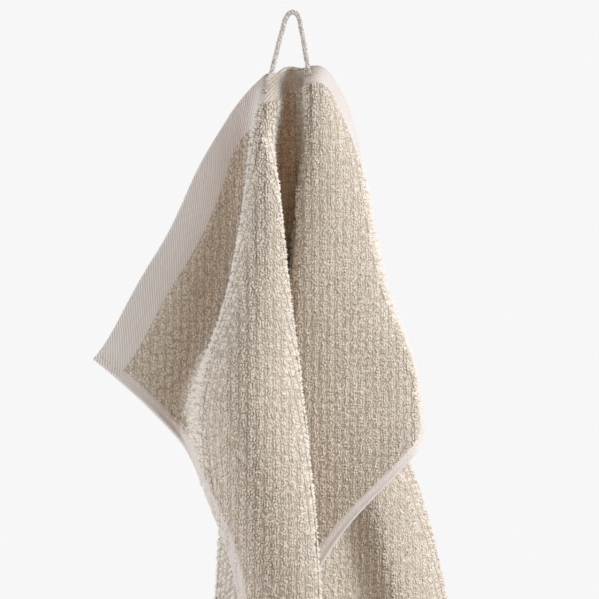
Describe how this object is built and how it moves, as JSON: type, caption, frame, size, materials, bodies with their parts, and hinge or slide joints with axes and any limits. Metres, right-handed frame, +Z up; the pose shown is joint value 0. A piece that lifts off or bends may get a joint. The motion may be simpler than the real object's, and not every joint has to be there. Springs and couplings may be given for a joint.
{
  "type": "hand towel",
  "caption": "Terry hand towel that hangs in deep uneven folds from a cord loop sewn to the middle of one short end.",
  "frame": {"origin": "inside of the hanging loop's top, where a hook bears", "axes": "+Z up, against gravity as the towel hangs; -Y out of the towel's front, which the picture shows; +X to the viewer's right"},
  "size_m": [0.2505, 0.1748, 1.076],
  "materials": {
    "terry": "beige cotton terry with flat-woven bands and turned side hems, matt",
    "cord": "beige plied cotton cord, matt"
  },
  "bodies": {
    "root": {"towel": "terry", "hanging_loop": "cord"}
  },
  "joints": []
}
